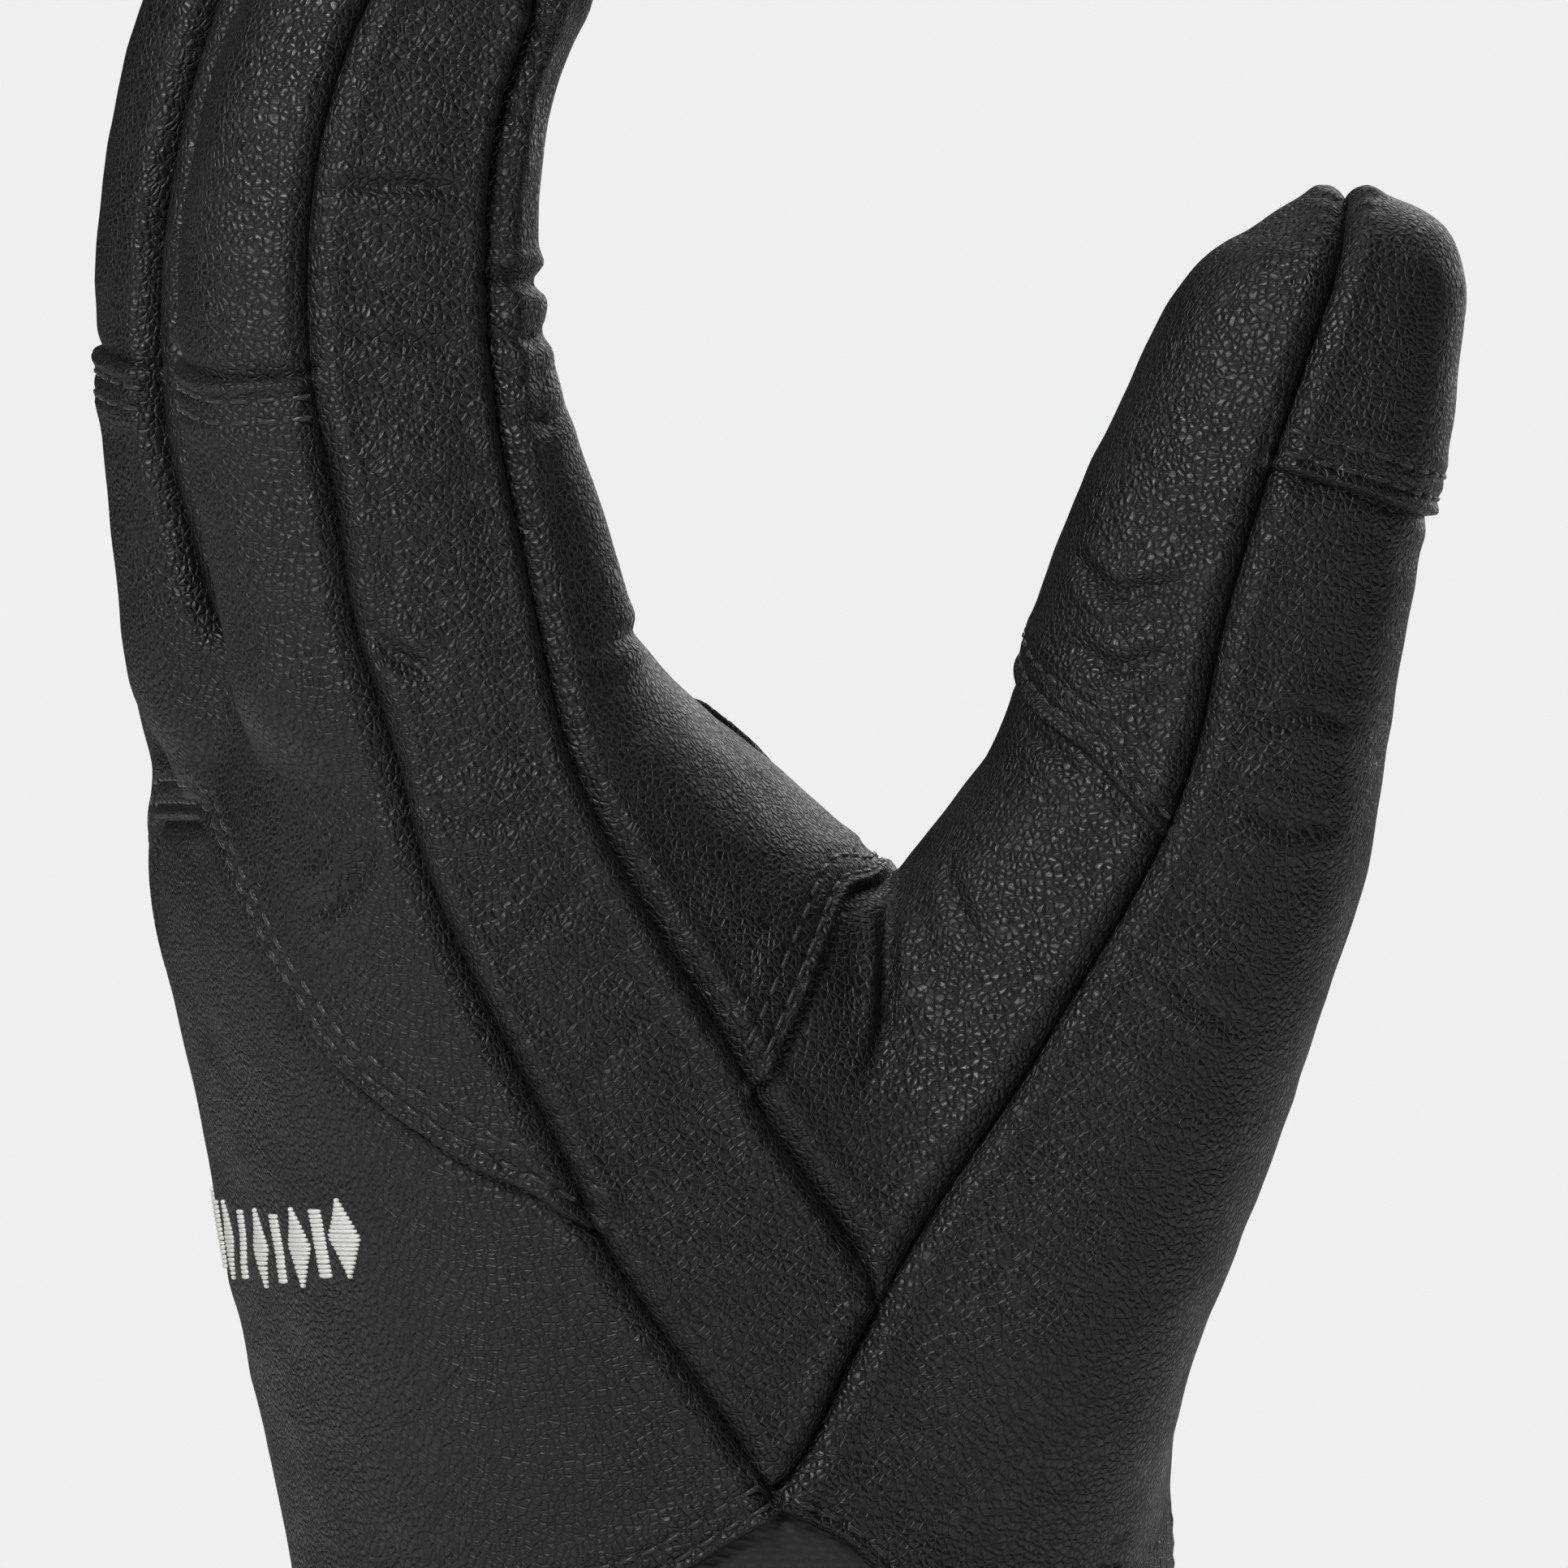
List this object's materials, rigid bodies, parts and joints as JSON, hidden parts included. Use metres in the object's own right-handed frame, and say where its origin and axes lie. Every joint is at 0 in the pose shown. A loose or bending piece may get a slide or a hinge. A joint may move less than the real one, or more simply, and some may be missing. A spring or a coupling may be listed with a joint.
{
  "type": "ski glove",
  "caption": "Left ski glove of black pebbled leather with jointed fingers, padded knuckles, stretch cuff, wrist strap and pull loop.",
  "frame": {"origin": "centre of the cuff's mouth, in the plane of the hem the glove stands on", "axes": "+Z from the cuff towards the fingertips, +X out of the palm, +Y towards the little finger's side, so the thumb is on the -Y side"},
  "size_m": [0.1393, 0.1055, 0.2605],
  "materials": {
    "leather_black": "fine pebbled, semi-matte",
    "stretch_fabric": "matte stretch weave",
    "softshell_black": "matte stretch weave",
    "lining_fleece": "brushed",
    "foam_grey": "matte foam",
    "membrane_grey": "thin satin film",
    "insulation_white": "matte wadding",
    "binding_black": "ribbed tape",
    "elastic_black": "ribbed elastic",
    "hook_and_loop": "matte hook and loop",
    "rubber_black": "matte moulded",
    "webbing_black": "woven webbing",
    "thread_white": "satin stitch",
    "label_white": "satin woven"
  },
  "bodies": {
    "hand": {"back_yoke": "leather_black", "knuckle_panel": "leather_black", "index_side_strip": "leather_black", "little_side_strip": "leather_black", "palm_panel": "leather_black", "palm_patch": "leather_black", "thumb_mound_panel": "leather_black", "thumb_web_gusset": "leather_black", "wrist_stretch_insert": "stretch_fabric", "knuckle_foam": "foam_grey", "hand_membrane": "membrane_grey", "hand_insulation": "insulation_white", "hand_lining": "lining_fleece", "back_emblem": "thread_white", "cuff_sleeve": "softshell_black", "cuff_hem_binding": "binding_black", "cuff_lining": "lining_fleece", "wrist_elastic": "elastic_black", "strap_loop_patch": "hook_and_loop", "strap_anchor": "leather_black", "pull_loop_anchor": "webbing_black", "size_label": "label_white"},
    "index_lower": {"index_back_base": "leather_black", "index_palm_base": "leather_black", "index_sides_base": "leather_black", "index_liner": "lining_fleece"},
    "index_upper": {"index_back_tip": "leather_black", "index_palm_tip": "leather_black", "index_sides_tip": "leather_black"},
    "middle_lower": {"middle_back_base": "leather_black", "middle_palm_base": "leather_black", "middle_sides_base": "leather_black", "middle_liner": "lining_fleece"},
    "middle_upper": {"middle_back_tip": "leather_black", "middle_palm_tip": "leather_black", "middle_sides_tip": "leather_black"},
    "ring_lower": {"ring_back_base": "leather_black", "ring_palm_base": "leather_black", "ring_sides_base": "leather_black", "ring_liner": "lining_fleece"},
    "ring_upper": {"ring_back_tip": "leather_black", "ring_palm_tip": "leather_black", "ring_sides_tip": "leather_black"},
    "little_lower": {"little_back_base": "leather_black", "little_palm_base": "leather_black", "little_sides_base": "leather_black", "little_liner": "lining_fleece"},
    "little_upper": {"little_back_tip": "leather_black", "little_palm_tip": "leather_black", "little_sides_tip": "leather_black"},
    "thumb_lower": {"thumb_back_base": "leather_black", "thumb_pad_base": "leather_black", "thumb_liner": "lining_fleece"},
    "thumb_upper": {"thumb_back_tip": "leather_black", "thumb_pad_tip": "leather_black"},
    "wrist_strap": {"strap_flap": "leather_black", "strap_hook_patch": "hook_and_loop", "strap_pull_tab": "rubber_black"},
    "pull_loop": {"pull_loop": "webbing_black"}
  },
  "joints": [
    {"name": "index_knuckle", "type": "hinge", "parent": "hand", "child": "index_lower", "pos_m": [-0.03758, -0.039, 0.17067], "axis": [-0.0038, 0.9999, 0.0166], "range_deg": [-10, 40], "stiffness_Nm_per_rad": 0.35},
    {"name": "index_middle_joint", "type": "hinge", "parent": "index_lower", "child": "index_upper", "pos_m": [-0.04423, -0.03949, 0.19851], "axis": [-0.0018, 0.9998, 0.0173], "range_deg": [-8, 45], "stiffness_Nm_per_rad": 0.25, "deforming": ["index_liner"]},
    {"name": "middle_knuckle", "type": "hinge", "parent": "hand", "child": "middle_lower", "pos_m": [-0.04602, -0.013, 0.17331], "axis": [-0.0009, 1, 0.0086], "range_deg": [-10, 40], "stiffness_Nm_per_rad": 0.35},
    {"name": "middle_middle_joint", "type": "hinge", "parent": "middle_lower", "child": "middle_upper", "pos_m": [-0.04925, -0.01323, 0.19973], "axis": [-0.0006, 1, 0.0087], "range_deg": [-8, 45], "stiffness_Nm_per_rad": 0.25, "deforming": ["middle_liner"]},
    {"name": "ring_knuckle", "type": "hinge", "parent": "hand", "child": "ring_lower", "pos_m": [-0.04101, 0.0125, 0.17021], "axis": [0.0006, 1, -0.0087], "range_deg": [-10, 40], "stiffness_Nm_per_rad": 0.35},
    {"name": "ring_middle_joint", "type": "hinge", "parent": "ring_lower", "child": "ring_upper", "pos_m": [-0.04318, 0.01272, 0.19561], "axis": [0.0001, 1, -0.0087], "range_deg": [-8, 45], "stiffness_Nm_per_rad": 0.25, "deforming": ["ring_liner"]},
    {"name": "little_knuckle", "type": "hinge", "parent": "hand", "child": "little_lower", "pos_m": [-0.035, 0.037, 0.16016], "axis": [0.0009, 0.9998, -0.0174], "range_deg": [-10, 40], "stiffness_Nm_per_rad": 0.35},
    {"name": "little_middle_joint", "type": "hinge", "parent": "little_lower", "child": "little_upper", "pos_m": [-0.03633, 0.0374, 0.18268], "axis": [-0.0008, 0.9998, -0.0174], "range_deg": [-8, 45], "stiffness_Nm_per_rad": 0.25, "deforming": ["little_liner"]},
    {"name": "thumb_lower_joint", "type": "hinge", "parent": "hand", "child": "thumb_lower", "pos_m": [0.03755, -0.03244, 0.14907], "axis": [0.2356, 0.9668, 0.0988], "range_deg": [-25, 15], "stiffness_Nm_per_rad": 0.35, "deforming": ["thumb_liner"]},
    {"name": "thumb_upper_joint", "type": "hinge", "parent": "thumb_lower", "child": "thumb_upper", "pos_m": [0.04669, -0.0381, 0.18524], "axis": [0.2176, 0.9745, 0.0542], "range_deg": [-45, 8], "stiffness_Nm_per_rad": 0.25},
    {"name": "wrist_strap_peel", "type": "hinge", "parent": "hand", "child": "wrist_strap", "pos_m": [0.02234, -0.04328, 0.034], "axis": [0, 0, 1], "range_deg": [0, 100]},
    {"name": "pull_loop_swing", "type": "hinge", "parent": "hand", "child": "pull_loop", "pos_m": [0.0504, 0, 0.026], "axis": [0, -1, 0], "range_deg": [0, 120]}
  ]
}
